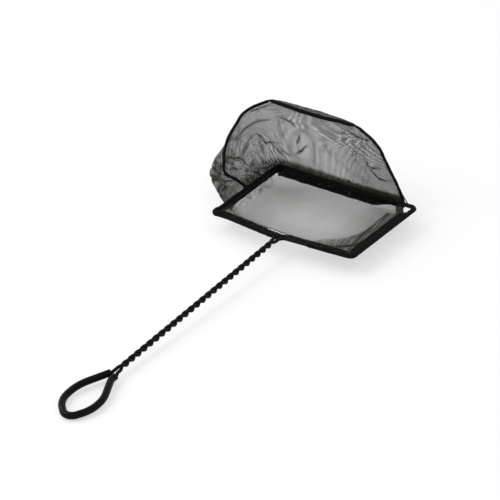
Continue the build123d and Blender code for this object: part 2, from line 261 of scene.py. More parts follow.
# Creases of the two panels, as shares across from the left seam and along from the rim
back_creases = [
    [(0.12, 0.56), (0.08, 0.42), (0.05, 0.33)],
    [(0.11, 0.46), (0.07, 0.37)],
    [(0.15, 0.58), (0.2, 0.44), (0.28, 0.44)],
    [(0.24, 0.42), (0.27, 0.36), (0.31, 0.31)],
    [(0.28, 0.38), (0.34, 0.34)],
    [(0.48, 0.55), (0.43, 0.44), (0.38, 0.38)],
    [(0.18, 0.84), (0.12, 0.78), (0.05, 0.62), (0.05, 0.49)],
    [(0.23, 0.89), (0.35, 0.88), (0.39, 0.84)],
    [(0.43, 0.75), (0.42, 0.62), (0.4, 0.52)],
    [(0.88, 0.44), (0.88, 0.54)],
    [(0.88, 0.44), (0.95, 0.44)],
    [(0.88, 0.44), (0.92, 0.34), (0.98, 0.31)],
    [(0.01, 0.29), (0.03, 0.29), (0.06, 0.27)],
    [(0.88, 0.95), (0.93, 0.84), (0.99, 0.76)],
    [(0.02, 0.82), (0.04, 0.91), (0.06, 0.98)],
]
front_creases = [
    [(0.64, 0.08), (0.67, 0.24), (0.7, 0.35)],
    [(0.12, 0.43), (0.03, 0.31)],
    [(0.12, 0.36), (0.08, 0.3), (0.01, 0.14)],
    [(0.11, 0.46), (0.05, 0.39)],
]

# Floor, light and camera, with the floor and lamps in metres
floor_side = 6.0
floor_drop = 0.0002
floor_glow = 0.56
world_strength = 0.8
lamp_target = (-0.02, -0.05, 0.0)
camera_azimuth = 33.84
camera_elevation = 30.16
camera_distance = 2000.0
camera_target = (-25.9, -69.9, 0.0)
camera_focal_pixels = 2175.4
camera_far = 50.0
image_side_pixels = 500.0
sensor_mm = 36.0


# Routes
def place(x, y, z):
    """A point as an array."""
    return np.array([x, y, z], float)


def unit(vector):
    """A vector of length one."""
    return vector / np.linalg.norm(vector)


def units(vectors):
    """Rows of vectors, each of length one."""
    return vectors / np.linalg.norm(vectors, axis=-1, keepdims=True)


def lengths(points):
    """Distances from the first of some points or rows of points."""
    steps = np.linalg.norm(np.diff(points, axis=0), axis=-1)
    return np.concatenate([np.zeros_like(steps[:1]), np.cumsum(steps, axis=0)])


def between(at, places, vectors):
    """Vectors at places between those where they are known."""
    return np.stack([np.interp(at, places, vectors[:, axis]) for axis in range(3)], -1)


class Route:
    """Straight runs joined by tangent arcs, read at shares of the length."""

    arc_steps = 24
    heading_step = 0.3
    search_steps = 6001

    def __init__(self, corners, radii=None):
        points = [corners[0]]
        for k, (before, corner, after) in enumerate(zip(corners, corners[1:], corners[2:])):
            into, out = unit(corner - before), unit(after - corner)
            turn = math.acos(np.clip(into @ out, -1.0, 1.0))
            run = min(np.linalg.norm(corner - before), np.linalg.norm(after - corner))
            trim = arc_share * run if radii is None else radii[k] * math.tan(turn / 2.0)
            radius = trim / math.tan(turn / 2.0)
            side = unit(out - into * math.cos(turn))
            for step in range(self.arc_steps + 1):
                angle = turn * step / self.arc_steps
                bend = into * math.sin(angle) + side * (1.0 - math.cos(angle))
                points.append(corner - into * trim + bend * radius)
        points.append(corners[-1])
        self.points = np.array(points)
        self.reached = lengths(self.points)
        self.length = self.reached[-1]

    def at(self, shares):
        """Points at shares of the length."""
        return self.at_distance(np.asarray(shares, float) * self.length)

    def at_distance(self, distances):
        """Points at distances from the start."""
        return between(distances, self.reached, self.points)

    def heading(self, distances):
        """Unit directions at distances from the start."""
        ahead, behind = distances + self.heading_step, distances - self.heading_step
        return units(self.at_distance(ahead) - self.at_distance(behind))

    def distance_near(self, point):
        """How far from the start the route comes nearest to a point."""
        distances = np.linspace(0.0, self.length, self.search_steps)
        return distances[np.argmin(np.linalg.norm(self.at_distance(distances) - point, axis=1))]


def inset(start, end, distance):
    """The point of a bar at a distance from its start."""
    return start + unit(end - start) * distance


# The rim's corners and its wire
up = place(0, 0, 1)
front_y, back_y = -rim_depth / 2.0, rim_depth / 2.0
both_sides = (-1.0, 1.0)
front_left, front_right = (place(side * rim_front_width / 2.0, front_y, rim_height) for side in both_sides)
back_left, back_right = (place(side * rim_back_width / 2.0, back_y, rim_height) for side in both_sides)
handle_start_y = front_y - twist_start


def front_apex(side, bow):
    """The corner where one half of the front bar would meet the handle."""
    return place(side * parting, front_y - bow, rim_height + handle_drop * (twist_start - bow))


left_apex, right_apex = map(front_apex, both_sides, front_bows)
left_leg, right_leg = (place(side * parting, handle_start_y, rim_height) for side in both_sides)
rim_corners = [left_apex, front_left, back_left, back_right, front_right, right_apex]
rim_radii = [exit_radii[0], *[rim_corner_radius] * 4, exit_radii[1]]
rim_route = Route([left_leg, *rim_corners, right_leg], rim_radii)

left_in = np.cross(unit(back_left - front_left), up)
right_in = np.cross(up, unit(back_right - front_right))
left_half_in = unit(np.cross(up, left_apex - front_left))
right_half_in = unit(np.cross(right_apex - front_right, up))


# The bag's edges and seams
def left_bar_point(distance, height):
    """A point under the left bar, at a distance from its front corner."""
    point = inset(front_left, back_left, distance)
    return place(point[0], point[1], height)


def seam_corners(foot, low_shape, high_shape, top):
    """A seam's corners from the rim to the closed end."""
    low = [foot + np.array(shape) * bag_rise for shape in low_shape]
    high = [top + np.array(shape) * bag_rise for shape in high_shape]
    return [foot] + low + high + [top]


closed_height = rim_height + bag_rise
closed_xs = [closed_end_shift + side * closed_end_width / 2.0 for side in both_sides]
closed_left, closed_right = (place(x, back_y + bag_lean, closed_height) for x in closed_xs)
closed_route = Route([closed_left, (closed_left + closed_right) / 2.0 - up * closed_end_sag, closed_right])
left_low = rim_height - left_flap - sewn_gap
back_edge_y = back_y + back_stand_off
back_edge_z = rim_height - back_sewing_drop
left_seam_foot = left_bar_point(left_foot, left_low) - left_in * seam_stand_off
right_seam_foot = place(back_right[0] - open_corner_gap + open_corner_step, back_edge_y, back_edge_z)
left_seam_route = Route(seam_corners(left_seam_foot, left_seam_low, left_seam_high, closed_left))
right_seam_route = Route(seam_corners(right_seam_foot, right_seam_low, right_seam_high, closed_right))

front_edge = front_flap + sewn_gap
right_edge = right_flap + sewn_gap
open_corner_edge = inset(back_right, front_right, edge_corner_gap) + right_in * right_edge
front_rim_edge = Route([
    left_seam_foot,
    left_bar_point(edge_corner_gap, left_low),
    inset(front_left, left_apex, edge_corner_gap) + left_half_in * front_edge,
    place(0.0, max(left_apex[1], right_apex[1]) + front_edge, rim_height),
    inset(front_right, right_apex, edge_corner_gap) + right_half_in * front_edge,
    inset(front_right, back_right, edge_corner_gap) + right_in * right_edge,
    open_corner_edge,
    (open_corner_edge + right_seam_foot) / 2.0 - up * open_corner_sag,
    right_seam_foot,
])
back_rim_edge = Route([
    left_seam_foot,
    left_bar_point(rim_depth - edge_corner_gap, back_edge_z) - left_in * back_stand_off,
    place(back_left[0] - back_stand_off, back_edge_y + back_stand_off, back_edge_z),
    place(back_left[0] + edge_corner_gap, back_edge_y, back_edge_z),
    right_seam_foot,
])
closed_middle = closed_route.at(0.5)
front_profile = Route([
    front_rim_edge.at(0.5),
    place(0, front_y + floor_front, -floor_press),
    place(0, back_y + floor_back, -floor_press),
    place(0, back_y + bag_lean + front_swell, rim_height + front_swell_share * bag_rise),
    closed_middle,
])
back_hood_y = back_y + bag_lean - back_swell
back_profile = Route([
    back_rim_edge.at(0.5),
    place(0, back_y + hood_foot, rim_height),
    place(0, back_hood_y, rim_height + back_swell_shares[0] * bag_rise),
    place(closed_middle[0], back_hood_y, rim_height + back_swell_shares[1] * bag_rise),
    closed_middle,
])


# Mesh panels as smooth surfaces
def climb(values, low, high):
    """A smooth climb from 0 at low to 1 at high."""
    share = np.clip((values - low) / (high - low), 0.0, 1.0)
    return share * share * (3.0 - 2.0 * share)


def even(count):
    """Even shares from 0 to 1."""
    return np.linspace(0.0, 1.0, count)


def mixed(a, b, share):
    """A share of the way from one array of points to another."""
    return a + (b - a) * share


def hold(u, fullness):
    """How much of its middle's stand-off a panel keeps at a place between its seams."""
    power = np.where(u < 0.5, fullness[0], fullness[1])
    return 1.0 - np.abs(2.0 * u - 1.0) ** power


def panel_points(rim_edge, profile, right_lag, reach_fullness, drop_fullness, us, vs):
    """Points of a panel at shares across from seam to seam and along from rim to closed end."""
    u, v = us[None, :, None], vs[:, None, None]
    foot, top = rim_edge.at(us)[None], closed_route.at(us)[None]
    left, right = left_seam_route.at(vs)[:, None], right_seam_route.at(vs**right_lag)[:, None]
    corners = mixed(mixed(left_seam_foot, right_seam_foot, u), mixed(closed_left, closed_right, u), v)
    points = mixed(foot, top, v) + mixed(left, right, u) - corners
    start, middle, end = profile.at(0.0), profile.at(vs)[:, None], profile.at(1.0)
    progress = (middle[..., 1] - start[1]) / (end[1] - start[1])
    reach = mixed(foot[..., 1], top[..., 1], progress) - points[..., 1]
    lift = (foot[..., 2] - start[2]) * (1.0 - v[..., 0]) + (top[..., 2] - end[2]) * v[..., 0]
    drop = middle[..., 2] + lift - points[..., 2]
    points[..., 1] += reach * hold(u[..., 0], reach_fullness)
    points[..., 2] += drop * hold(u[..., 0], drop_fullness)
    return points


def side_wave(distance, reach):
    """A swelling that starts steeply at a seam and dies away at its reach."""
    share = np.minimum(distance / reach, 1.0)
    return np.sin(np.pi * share) * (1.0 - share)


def bulge(us, vs):
    """How the front panel's sides stand out beyond the side bars."""
    u, v = us[None, :, None], vs[:, None, None]
    left_way = mixed(np.array(left_bulge_low), np.array(left_bulge_high), climb(v, *left_bulge_turn))
    left_size = left_bulge * side_wave(u, left_bulge_share)
    right_size = right_bulge * side_wave(1.0 - u, right_bulge_share)
    left = left_way * left_size * np.sin(np.pi * v**left_bulge_rise) ** 2
    return left + place(1, 0, 0) * right_size * np.sin(np.pi * v) ** 2


def resting(points):
    """Points eased on to the resting surface where they would pass below it."""
    well_above, far_off = 20.0, 30.0
    above = np.clip((points[..., 2] - floor_level) / floor_softness, -far_off, far_off)
    lifted = floor_level + floor_softness * np.log1p(np.exp(above))
    points[..., 2] = np.where(above > well_above, points[..., 2], lifted)
    return points


def front_surface(us, vs):
    """The front panel, from the front and side bars to the closed end."""
    points = panel_points(front_rim_edge, front_profile, front_lag, front_reach, front_drop, us, vs)
    return resting(points + bulge(us, vs))


def back_surface(us, vs):
    """The back panel, the hood that rises from the back bar."""
    return resting(panel_points(back_rim_edge, back_profile, back_lag, back_fullness, back_fullness, us, vs))


# Cloth helpers
def normals(points):
    """Unit normals over a grid of points."""
    along, across = np.gradient(points, axis=(0, 1))
    normal = np.cross(across, along)
    return normal / np.maximum(np.linalg.norm(normal, axis=-1, keepdims=True), 1e-9)


def cloth_lengths(points):
    """Distances over the cloth from a grid's middle column and from its first row."""
    across = lengths(points.swapaxes(0, 1)).T
    return across - across[:, [points.shape[1] // 2]], lengths(points)


def rough(x, y, seed):
    """Smooth noise over a grid of places, about one bump to a unit."""
    x, y = np.broadcast_arrays(x, y)
    values = [noise.noise(Vector((a, b, seed))) for a, b in zip(x.ravel(), y.ravel())]
    return np.array(values).reshape(x.shape)


def rough_line(x, size, seed):
    """Smooth noise along a line, with bumps of a size."""
    return rough(x / size, 0.0 * x, seed)


def rough_cloth(across, along, sizes, seed):
    """Smooth noise over a cloth, with bumps of a size across and a size along."""
    return rough(across / sizes[0], along / sizes[1], seed)


def tone_patches(across, along, seed):
    """Slightly closer and more open patches of mesh."""
    return tone_patch * rough_cloth(across, along, (tone_patch_size, tone_patch_size), seed)


def soft_wrinkles(across, along, heights, seed):
    """Wrinkles of two sizes over a cloth."""
    layers = zip(heights, wrinkle_sizes, (seed, seed + 1.0))
    return sum(height * rough_cloth(across, along, (size, size), draw) for height, size, draw in layers)


def gathers(across, along, height, pitch, drift, drift_size, start, foot, reach, seed):
    """Close waves of mesh gathered on a hem, with a drifting pitch."""
    waves = np.sin(2.0 * np.pi * (across / pitch + drift * rough_line(across, drift_size, seed)))
    waves = waves * fading(np.maximum(along - foot, 0.0), 1.0, reach)
    return height * waves * climb(along, 0.0, start)


def free_share(u, along, foot, end, side):
    """How free a panel is to wrinkle: 0 where it is sewn, 1 away from there."""
    free = climb(along, *foot) * climb(along[-1] - along, 0.0, end)
    return free * climb(u, 0.0, side) * climb(1.0 - u, 0.0, side)


def fading(distance, amount, reach):
    """An amount that dies away with distance."""
    return amount * np.exp(-distance / reach)


def crumple(across, along, size, seed):
    """Thin lines of creases: 1 on a line and 0 between the lines."""
    off_line = np.abs(rough(across / size, along / size, seed))
    return np.clip(1.0 - line_sharpness * off_line, 0.0, 1.0) ** line_power


def crease_line(surface, corners):
    """Close points on a panel along a crease that is given in shares."""
    points = []
    for start, end in zip(np.array(corners), np.array(corners[1:])):
        for k in range(crease_steps):
            u, v = mixed(start, end, k / crease_steps)
            points.append(surface(np.array([u]), np.array([v]))[0, 0])
    return np.array(points)


def crease_marks(points, surface, creases):
    """How near each place is to a crease: 1 on it, fading beside it and at its ends."""
    marks = np.zeros(points.shape[:2])
    for corners in creases:
        spine = crease_line(surface, corners)
        fade = np.sqrt(np.maximum(np.sin(np.pi * even(len(spine))), 0.0))
        for point, strength in zip(spine, fade):
            nearness = strength * np.exp(-((points - point) ** 2).sum(-1) / crease_width**2)
            marks = np.maximum(marks, nearness)
    return marks


# Turning grids into objects
def in_scene(name, data):
    """A new object in the scene."""
    thing = bpy.data.objects.new(name, data)
    bpy.context.scene.collection.objects.link(thing)
    return thing


def link(name, mesh, material):
    """A new piece of the net in the scene, shaded smooth."""
    mesh.polygons.foreach_set("use_smooth", [True] * len(mesh.polygons))
    mesh.materials.append(material)
    piece = in_scene(name, mesh)
    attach(piece, "root")
    return piece


def grid_faces(rows, columns, first=0, closed=False):
    """Quads between rows and columns, and from the last column to the first if closed."""
    faces = []
    for j in range(rows - 1):
        for i in range(columns if closed else columns - 1):
            a = first + j * columns + i
            b = first + j * columns + (i + 1) % columns
            faces.append((a, b, b + columns, a + columns))
    return faces


def laid_weave(across, along):
    """Weave coordinates of each face's corners, from distances over the cloth."""
    flat = np.stack([across.ravel(), along.ravel()], -1)
    return flat[np.array(grid_faces(*across.shape))]


def boxed_weave(points):
    """Weave coordinates of each face's corners, seen along the axis that its cloth faces most."""
    facing = np.abs(normals(points))[:-1, :-1].argmax(-1).ravel()
    corners = points.reshape(-1, 3)[np.array(grid_faces(*points.shape[:2]))]
    axes = np.array([(1, 2), (0, 2), (0, 1)])[facing]
    return np.take_along_axis(corners, axes[:, None, :], axis=2)


def cloth_object(name, points, weave, fold, material):
    """A sheet with its weave coordinates in millimetres and how much its mesh closes up, from folds and from
    painted shade.
    """
    rows, columns = points.shape[:2]
    mesh = bpy.data.meshes.new(name)
    mesh.from_pydata((points.reshape(-1, 3) * mm).tolist(), [], grid_faces(rows, columns))
    mesh.uv_layers.new(name="weave").data.foreach_set("uv", weave.ravel())
    mesh.attributes.new("fold", "FLOAT", "POINT").data.foreach_set("value", np.clip(fold, 0.0, 1.0).ravel())
    return link(name, mesh, material)


def declare_sheet(points, with_pieces=()):
    """Measures a sheet's cloth across and along, and does nothing more with it."""
    across, along = cloth_lengths(points)


def tube_points(spine, radius, sides):
    """Rings of points round a line, with as little twist as possible."""
    ways = units(np.gradient(spine, axis=0))
    any_other_way = place(0.3, -0.5, 0.8)
    side = unit(np.cross(ways[0], any_other_way))
    angles = 2.0 * np.pi * np.arange(sides) / sides
    rings = []
    for point, way, radii in zip(spine, ways, radius):
        side = unit(side - way * (side @ way))
        other = np.cross(way, side)
        ring = np.cos(angles)[:, None] * side + np.sin(angles)[:, None] * other
        rings.append(point + ring * np.broadcast_to(radii, (sides,))[:, None])
    return np.array(rings)


def tubes_object(name, tubes, material):
    """One object of closed tubes."""
    vertices, faces = [], []
    for rings in tubes:
        first, (count, sides) = len(vertices), rings.shape[:2]
        vertices += (rings.reshape(-1, 3) * mm).tolist()
        faces += grid_faces(count, sides, first, closed=True)
        faces.append(tuple(range(first + sides - 1, first - 1, -1)))
        faces.append(tuple(range(first + (count - 1) * sides, first + count * sides)))
    mesh = bpy.data.meshes.new(name)
    mesh.from_pydata(vertices, [], faces)
    return link(name, mesh, material)


# Materials
class Nodes:
    """A material's node tree, with short ways to add nodes and links."""

    def __init__(self, name):
        self.material = bpy.data.materials.new(name)
        self.material.use_nodes = True
        self.tree = self.material.node_tree
        self.shader = self.tree.nodes["Principled BSDF"]

    def feed(self, node, inputs):
        """Gives a node's inputs their values or links."""
        for socket, value in inputs.items():
            if isinstance(value, bpy.types.NodeSocket):
                self.tree.links.new(value, node.inputs[socket])
            else:
                node.inputs[socket].default_value = value

    def shade(self, inputs):
        self.feed(self.shader, inputs)

    def add(self, kind, inputs=None, **settings):
        node = self.tree.nodes.new("ShaderNode" + kind)
        for key, value in settings.items():
            setattr(node, key, value)
        self.feed(node, inputs or {})
        return node

    def math(self, operation, *values):
        return self.add("Math", dict(enumerate(values)), operation=operation).outputs[0]

    def noise(self, vector, scale, detail=3.0):
        return self.add("TexNoise", {"Vector": vector, "Scale": scale, "Detail": detail}).outputs["Fac"]

    def ramp(self, value, low, high):
        """A colour between two, by a value."""
        node = self.add("ValToRGB", {"Fac": value})
        for stop, colour in zip(node.color_ramp.elements, (low, high)):
            stop.color = (*colour, 1.0)
        return node.outputs["Color"]

    def range(self, value, low, high):
        """A number between two, by a value from 0 to 1."""
        return self.add("MapRange", {"Value": value, "To Min": low, "To Max": high}).outputs["Result"]

    def bump(self, height, strength, distance):
        node = self.add("Bump", {"Height": height, "Strength": strength, "Distance": distance})
        self.shade({"Normal": node.outputs["Normal"]})

    def object_place(self):
        return self.add("TexCoord").outputs["Object"]


def mesh_material(name, pitch, thread, dark, light):
    """Open mesh of wavy threads, which close up where the cloth is folded together and where painted shade is
    laid on.
    """
    nodes = Nodes(name)
    weave = nodes.add("UVMap", uv_map="weave").outputs["UV"]
    scaled = nodes.add("VectorMath", {0: weave, "Scale": 1.0 / pitch}, operation="SCALE")
    split = nodes.add("SeparateXYZ", {0: scaled.outputs[0]})
    x, y = split.outputs["X"], split.outputs["Y"]
    full_turn = 2.0 * math.pi
    wave = 0.1
    offs = []
    for straight, other in ((x, y), (y, x)):
        sway = nodes.math("SINE", nodes.math("MULTIPLY", other, full_turn))
        bent = nodes.math("MULTIPLY_ADD", sway, wave, straight)
        offs.append(nodes.math("PINGPONG", bent, 0.5))
    off = nodes.math("MINIMUM", *offs)
    open_half = thread / pitch / 2.0
    # The fold attribute holds the cloth's folds and, on the front panel, painted shade and shadow
    fold = nodes.add("Attribute", attribute_name="fold").outputs["Fac"]
    half = nodes.math("MULTIPLY_ADD", fold, 0.5 - open_half, open_half)
    nodes.shade({"Alpha": nodes.math("LESS_THAN", off, half)})
    nodes.bump(nodes.math("SUBTRACT", half, off), strength=0.6, distance=0.0003)
    patches = nodes.noise(nodes.object_place(), scale=60.0)
    colour, roughness = nodes.ramp(patches, dark, light), nodes.range(patches, low=0.5, high=0.7)
    nodes.shade({"Base Color": colour, "Roughness": roughness, "Specular IOR Level": 0.06})
    return nodes.material


def thread_material(name, dark, light):
    """Dull sewing thread with fine slanting plies."""
    nodes = Nodes(name)
    where = nodes.object_place()
    plies = {"Vector": where, "Scale": 900.0, "Distortion": 1.5}
    wave = nodes.add("TexWave", plies, bands_direction="DIAGONAL")
    nodes.bump(wave.outputs["Fac"], strength=0.35, distance=0.0002)
    colour = nodes.ramp(nodes.noise(where, scale=400.0), dark, light)
    nodes.shade({"Base Color": colour, "Roughness": 0.75, "Specular IOR Level": 0.05})
    return nodes.material


def coat_material(name, dark, light, shine, specular, bump_scale, bump_strength):
    """Black plastic with a slightly uneven, rubbed surface."""
    nodes = Nodes(name)
    where = nodes.object_place()
    rubbed = nodes.noise(where, scale=220.0, detail=5.0)
    colour, roughness = nodes.ramp(rubbed, dark, light), nodes.range(rubbed, *shine)
    nodes.shade({"Base Color": colour, "Roughness": roughness, "Specular IOR Level": specular})
    nodes.bump(nodes.noise(where, bump_scale, detail=2.0), bump_strength, distance=0.0004)
    return nodes.material


def steel_material():
    """Drawn steel wire."""
    nodes = Nodes("steel_core")
    streaks = nodes.noise(nodes.object_place(), scale=500.0)
    colour = nodes.ramp(streaks, low=(0.42, 0.43, 0.45), high=(0.6, 0.61, 0.63))
    roughness = nodes.range(streaks, low=0.28, high=0.45)
    nodes.shade({"Base Color": colour, "Roughness": roughness, "Metallic": 1.0})
    return nodes.material


steel = steel_material()
wire_coat = coat_material(
    "wire_coat", dark=(0.003, 0.003, 0.003), light=(0.007, 0.007, 0.007), shine=(0.35, 0.55),
    specular=0.08, bump_scale=350.0, bump_strength=0.25,
)
sleeve_vinyl = coat_material(
    "sleeve_vinyl", dark=(0.002, 0.002, 0.002), light=(0.006, 0.006, 0.005), shine=(0.08, 0.18),
    specular=0.07, bump_scale=90.0, bump_strength=0.15,
)
open_mesh = mesh_material(
    "mesh", pitch=1.0, thread=0.25, dark=(0.018, 0.0165, 0.0125), light=(0.04, 0.037, 0.029)
)
hem_mesh = mesh_material(
    "hem_mesh", pitch=0.8, thread=0.42, dark=(0.0015, 0.0015, 0.0015), light=(0.006, 0.006, 0.005)
)
seam_thread = thread_material("seam_thread", dark=(0.003, 0.003, 0.003), light=(0.01, 0.01, 0.009))
stitch_thread = thread_material("stitch_thread", dark=(0.006, 0.006, 0.006), light=(0.02, 0.02, 0.019))

for ending, finish in (("core", steel), ("coat", wire_coat), ("loop_sleeve", sleeve_vinyl)):
    for name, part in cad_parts.items():
        if name.endswith(ending):
            part.data.materials.clear()
            part.data.materials.append(finish)


# Hems: the mesh folded over the wire, gathered and stitched
class Hem:
    """A folded edge along a stretch of the rim's wire."""

    flap_columns = 9
    wrap_columns = 13

    def __init__(self, route, start, end, flap_way, face_way, flap, tapers, seed, slit=None, swell_at=None):
        self.route = route
        count = int((end - start) / hem_step) + 1
        self.distances = np.linspace(start, end, count)
        self.centres = route.at_distance(self.distances)
        self.ways = route.heading(self.distances)
        self.flap_way = self.square(flap_way)
        self.face_way = np.cross(self.ways, self.flap_way)
        if (self.face_way @ face_way).mean() < 0.0:
            self.face_way = -self.face_way
        self.seed = seed
        self.width = self.widths(flap, tapers)
        open_share, self.offset = np.zeros(count), np.zeros(count)
        if slit is not None:
            inside = np.minimum(self.distances - slit[0], slit[1] - self.distances)
            open_share = climb(inside, 0.0, slit_ease)
            self.offset = open_share * slit_offset
            from_handle = self.distances - slit[0] + slit_start
            from_notch = (from_handle - slit_notch_centre) / slit_notch_reach
            self.width = self.width - slit_notch * np.exp(-(from_notch**4))
        self.radius = mixed(hem_radius, slit_radius, open_share)
        if swell_at is not None:
            from_corner = (self.distances - swell_at) / hem_corner_ease
            self.radius = self.radius + hem_corner_swell * np.exp(-(from_corner**2))

    def square(self, way):
        """A flap's direction, square to the wire."""
        ways = np.broadcast_to(np.asarray(way, float), self.ways.shape)
        return units(ways - self.ways * (ways * self.ways).sum(-1, keepdims=True))

    def widths(self, flap, tapers):
        """The flap's width along the hem, narrower at the ends that run into a corner."""
        width = np.full(len(self.distances), flap)
        for at_end, run, ease in tapers:
            gap = np.abs(self.distances - self.distances[-1 if at_end else 0])
            wide = climb(gap, run, run + ease)
            width = np.minimum(width, mixed(hem_corner_width, flap, wide))
        return width * (1.0 + hem_wander * rough_line(self.distances, size=9.0, seed=self.seed))

    def ripple(self, distances):
        """How far the gathered flap's free edge sways."""
        drift = ripple_drift * rough_line(distances, size=11.0, seed=self.seed + 3.0)
        size = ripple_share + ripple_share * rough_line(distances, size=7.0, seed=self.seed + 5.0)
        return hem_ripple * size * np.sin(2.0 * np.pi * (distances / hem_ripple_pitch + drift))

    def layer(self, side, turn):
        """Reach and lift of one layer's columns, from its free edge to the wire."""
        sway = self.ripple(self.distances)
        root = self.offset + self.radius * math.cos(turn)
        bow = self.radius * math.sin(turn) - hem_layer_gap
        columns = []
        for share in np.linspace(1.0, 0.0, self.flap_columns):
            lift = side * (hem_layer_gap + bow * (1.0 - share) ** 2)
            columns.append((mixed(root, self.width, share), lift + sway * share))
        return columns

    def wrap(self, turns):
        """Reach and lift of the columns that go round the wire."""
        numbers = np.arange(self.wrap_columns)[None]
        puff = rough_cloth(self.distances[:, None], numbers, sizes=(4.0, 4.0), seed=self.seed + 8.0)
        columns = []
        for k, turn in enumerate(turns):
            radius = self.radius * (1.0 + hem_puff * puff[:, k])
            columns.append((self.offset + radius * math.cos(turn), radius * math.sin(turn)))
        return columns

    def grid(self):
        """Points across the fold, from one layer's free edge round the wire to the other's."""
        turns = np.linspace(hem_wrap_turns[0] * np.pi, hem_wrap_turns[1] * np.pi, self.wrap_columns)
        upper, lower = self.layer(1.0, turns[0]), self.layer(-1.0, turns[0])
        rows = []
        for reach, lift in upper + self.wrap(turns) + lower[::-1]:
            rows.append(self.centres + self.flap_way * reach[:, None] + self.face_way * lift[:, None])
        return np.array(rows)

    def stitch_tubes(self):
        """Arched stitches along the flap, near its free edge."""
        tubes = []
        arch = np.sin(np.pi * even(stitch_rings))
        radius = stitch_radius * mixed(stitch_end_share, 1.0, arch)
        middles = np.arange(self.distances[0] + stitch_pitch, self.distances[-1] - stitch_pitch, stitch_pitch)
        for middle in middles:
            along = middle + stitch_length * np.linspace(-0.5, 0.5, stitch_rings)
            reach = np.interp(along, self.distances, self.width) - stitch_inset
            if reach.min() < 2.0 * hem_radius:
                continue
            lift = hem_layer_gap + stitch_arch * arch + self.ripple(along) * reach / (reach + stitch_inset)
            outward = between(along, self.distances, self.flap_way) * reach[:, None]
            upward = between(along, self.distances, self.face_way) * lift[:, None]
            spine = self.route.at_distance(along) + outward + upward
            tubes.append(tube_points(spine, radius, thread_sides))
        return tubes


front_hem_start = inset(front_left, back_left, corner_run)
front_hem_end = inset(front_right, back_right, corner_run)
front_route = Route(
    [front_hem_start, front_left, left_apex, right_apex, front_right, front_hem_end],
    [corner_sharpness, apex_radius, apex_radius, rim_corner_radius],
)
left_start, back_start, back_end, right_end = map(rim_route.distance_near, rim_corners[1:5])
front_start, handle_right, front_end = map(front_route.distance_near, (front_left, right_apex, front_right))
right_narrow_run = open_corner_wrap + open_corner_gap - hem_corner_ease
narrow_start, narrow_end = (False, corner_lap, hem_corner_ease), (True, corner_lap, hem_corner_ease)
hems = {
    "front": Hem(
        front_route, front_start - front_corner_lap, front_end + corner_lap,
        place(*front_flap_way), up, front_flap,
        [(False, front_corner_lap, hem_corner_ease), narrow_end], seed=41.0,
        slit=(handle_right + slit_start, handle_right + slit_end), swell_at=front_start,
    ),
    "left": Hem(
        rim_route, left_start - corner_lap, back_start + corner_lap,
        -up, left_in, left_flap, [narrow_start], seed=11.0,
    ),
    "back": Hem(
        rim_route, back_start - corner_lap, back_end - open_corner_gap,
        -up, place(0, -1, 0), back_flap, [(True, 0.0, back_hem_ease)], seed=21.0,
    ),
    "right": Hem(
        rim_route, back_end - open_corner_wrap, right_end + corner_lap,
        right_in - place(0, right_flap_turn, 0), up, right_flap,
        [(False, right_narrow_run, hem_corner_ease), narrow_end], seed=31.0,
    ),
}
for side, hem in hems.items():
    points = hem.grid()
    across, along = cloth_lengths(points)
    weave = laid_weave(across * hem_gathering, along)
    folds = np.abs(rough_cloth(across, along, sizes=(2.5, 6.0), seed=hem.seed))
    bunch = hem_bunch[0] + hem_bunch[1] * folds
    cloth = cloth_object(f"{side}_hem_cloth", points, weave, bunch, hem_mesh)
    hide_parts(f"{side}_hem")
    declare_sheet(points)
    stitches = tubes_object(f"{side}_stitch_row", hem.stitch_tubes(), stitch_thread)
    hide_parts(f"{side}_stitching")


# Seams: overlocked rolls of thread
def overlock_tube(route, size, seed):
    """A seam's roll, with slanting ridges of thread and a slightly wandering line."""
    distances = np.linspace(0.0, route.length, int(route.length / seam_step))
    from_end = np.minimum(distances, route.length - distances)
    sway = np.stack([rough_line(distances, size=14.0, seed=seed + k) for k in range(3)], -1)
    free = seam_wander * climb(from_end, 0.0, seam_wander_ease)
    spine = route.at_distance(distances) + sway * free[:, None]
    phase = distances[:, None] / seam_ridge_pitch + np.arange(seam_sides)[None] / seam_sides
    ridges = np.abs(np.sin(np.pi * phase))
    swell = 1.0 + seam_swell * rough_line(distances, size=5.0, seed=seed + 7.0)
    narrowing = mixed(seam_end_share, 1.0, climb(from_end, 0.0, seam_end_ease))
    radius = (size * swell[:, None] + seam_ridge * (ridges - 0.5)) * narrowing[:, None]
    return tube_points(spine, radius, seam_sides)


def loose_thread(route):
    """The thread's tail, pulled tight from the seam to the back bar."""
    start = route.at_distance(np.array([tail_height]))[0]
    end = place(back_right[0] - tail_bar_gap, back_right[1], rim_height + hem_radius)
    spine = mixed(start, end, even(tail_rings)[:, None])
    return tube_points(spine, np.full(tail_rings, tail_radius), thread_sides)


seams = {
    "left_seam": (left_seam_route, seam_radius, 50.0),
    "right_seam": (right_seam_route, seam_radius, 60.0),
    "closed_end_seam": (closed_route, closed_end_radius, 70.0),
}
for name, (route, size, seed) in seams.items():
    tubes = [overlock_tube(route, size, seed)]
    if name == "right_seam":
        tubes.append(loose_thread(route))
    overlock = tubes_object(f"{name}_overlock", tubes, seam_thread)
    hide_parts(name)


